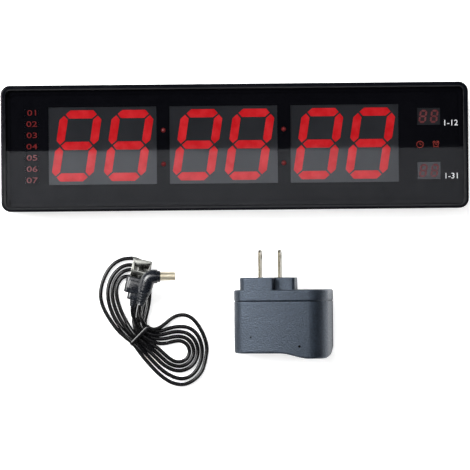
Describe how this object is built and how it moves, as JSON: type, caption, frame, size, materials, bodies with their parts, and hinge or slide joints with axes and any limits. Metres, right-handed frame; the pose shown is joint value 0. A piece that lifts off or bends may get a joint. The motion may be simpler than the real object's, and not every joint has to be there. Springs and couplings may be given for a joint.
{
  "type": "digital round timer",
  "caption": "Slim black LED timer with two-digit displays in a row for gym rounds, lying beside its tied USB lead and plug-in mains adapter.",
  "frame": {"origin": "centre of the case's rear face, which goes to the wall when it hangs; here it lies on a table with the lead and the adapter beside it", "axes": "+Z out of the display, +Y to the top edge of the case, +X to the right as the display is read"},
  "size_m": [0.2958, 0.1925, 0.0307],
  "materials": {
    "bezel_black": "gloss black moulded plastic with a soft edge",
    "smoked_panel": "clear acrylic, lightly smoked, polished",
    "black_tape": "matte black film and foam tape",
    "cover_black": "fine spark-eroded black plastic",
    "board_green": "solder mask over glass-epoxy board",
    "module_grey": "dark grey printed module face",
    "lit_red": "diffusing epoxy, lit red",
    "unlit_red": "diffusing epoxy, unlit",
    "white_plastic": "natural white plastic",
    "black_parts": "black moulded component bodies",
    "contact_brass": "plated brass",
    "button_grey": "dark grey moulded button",
    "plunger_ivory": "ivory plastic",
    "steel": "plated steel",
    "capacitor_blue": "dark blue sleeve",
    "adapter_slate": "spark-eroded slate-black plastic with a soft sheen",
    "blade_nickel": "nickel-plated brass, worn to brass",
    "board_tan": "phenolic paper board",
    "transformer_tape": "yellow tape and dark ferrite",
    "cord_black": "glossy black PVC sheath",
    "plug_black": "satin blue-black over-moulding"
  },
  "bodies": {
    "timer_case": {"front_bezel": "bezel_black", "front_panel": "smoked_panel", "panel_tape": "black_tape", "panel_mask": "black_tape", "rear_cover": "cover_black", "main_board": "board_green", "hour_module": "module_grey", "hour_segments": "lit_red", "minute_module": "module_grey", "minute_segments": "lit_red", "second_module": "module_grey", "second_segments": "lit_red", "colon_lamps": "lit_red", "month_module": "module_grey", "month_segments": "unlit_red", "date_module": "module_grey", "date_segments": "unlit_red", "light_guides": "white_plastic", "indicator_leds": "white_plastic", "dc_jack": "black_parts", "dc_jack_contacts": "contact_brass", "tact_switches": "black_parts", "battery_holder": "black_parts", "battery_contacts": "contact_brass", "coin_cell": "steel", "buzzer": "black_parts", "clock_chip": "black_parts", "driver_chips": "black_parts", "crystal": "steel", "capacitors": "capacitor_blue", "board_screws": "steel", "case_screws": "steel"},
    "mode_key": {"mode_button": "button_grey", "mode_plunger": "plunger_ivory"},
    "up_key": {"up_button": "button_grey", "up_plunger": "plunger_ivory"},
    "down_key": {"down_button": "button_grey", "down_plunger": "plunger_ivory"},
    "bell_key": {"bell_button": "button_grey", "bell_plunger": "plunger_ivory"},
    "cell_door": {"battery_door": "cover_black"},
    "mains_adapter": {"adapter_rear_shell": "adapter_slate", "adapter_front_cap": "adapter_slate", "adapter_blades": "blade_nickel", "adapter_board": "board_tan", "adapter_transformer": "transformer_tape", "adapter_capacitors": "capacitor_blue", "usb_socket_shell": "steel", "usb_socket_tongue": "white_plastic"},
    "usb_lead": {"lead_hank": "cord_black", "lead_tie": "cord_black", "lead_dc_tail": "cord_black", "lead_usb_tail": "cord_black", "dc_plug_body": "plug_black", "dc_plug_barrel": "contact_brass", "dc_plug_insulator": "black_parts", "usb_plug_body": "plug_black", "usb_plug_shell": "steel", "usb_plug_tongue": "white_plastic"}
  },
  "joints": [
    {"name": "mode_press", "type": "slide", "parent": "timer_case", "child": "mode_key", "axis": [0, 0, 1], "range_m": [0, 0.0008], "stiffness_N_per_m": 600, "springref_m": -0.0006},
    {"name": "up_press", "type": "slide", "parent": "timer_case", "child": "up_key", "axis": [0, 0, 1], "range_m": [0, 0.0008], "stiffness_N_per_m": 600, "springref_m": -0.0006},
    {"name": "down_press", "type": "slide", "parent": "timer_case", "child": "down_key", "axis": [0, 0, 1], "range_m": [0, 0.0008], "stiffness_N_per_m": 600, "springref_m": -0.0006},
    {"name": "bell_press", "type": "slide", "parent": "timer_case", "child": "bell_key", "axis": [0, 0, 1], "range_m": [0, 0.0008], "stiffness_N_per_m": 600, "springref_m": -0.0006},
    {"name": "cell_door_turn", "type": "hinge", "parent": "timer_case", "child": "cell_door", "pos_m": [-0.072, -0.007, 0.0012], "axis": [0, 0, 1], "range_deg": [0, 45]},
    {"name": "adapter_lift", "type": "slide", "parent": "timer_case", "child": "mains_adapter", "axis": [0, 0, 1], "range_m": [0, 0.12]},
    {"name": "lead_lift", "type": "slide", "parent": "timer_case", "child": "usb_lead", "axis": [0, 0, 1], "range_m": [0, 0.12]}
  ]
}
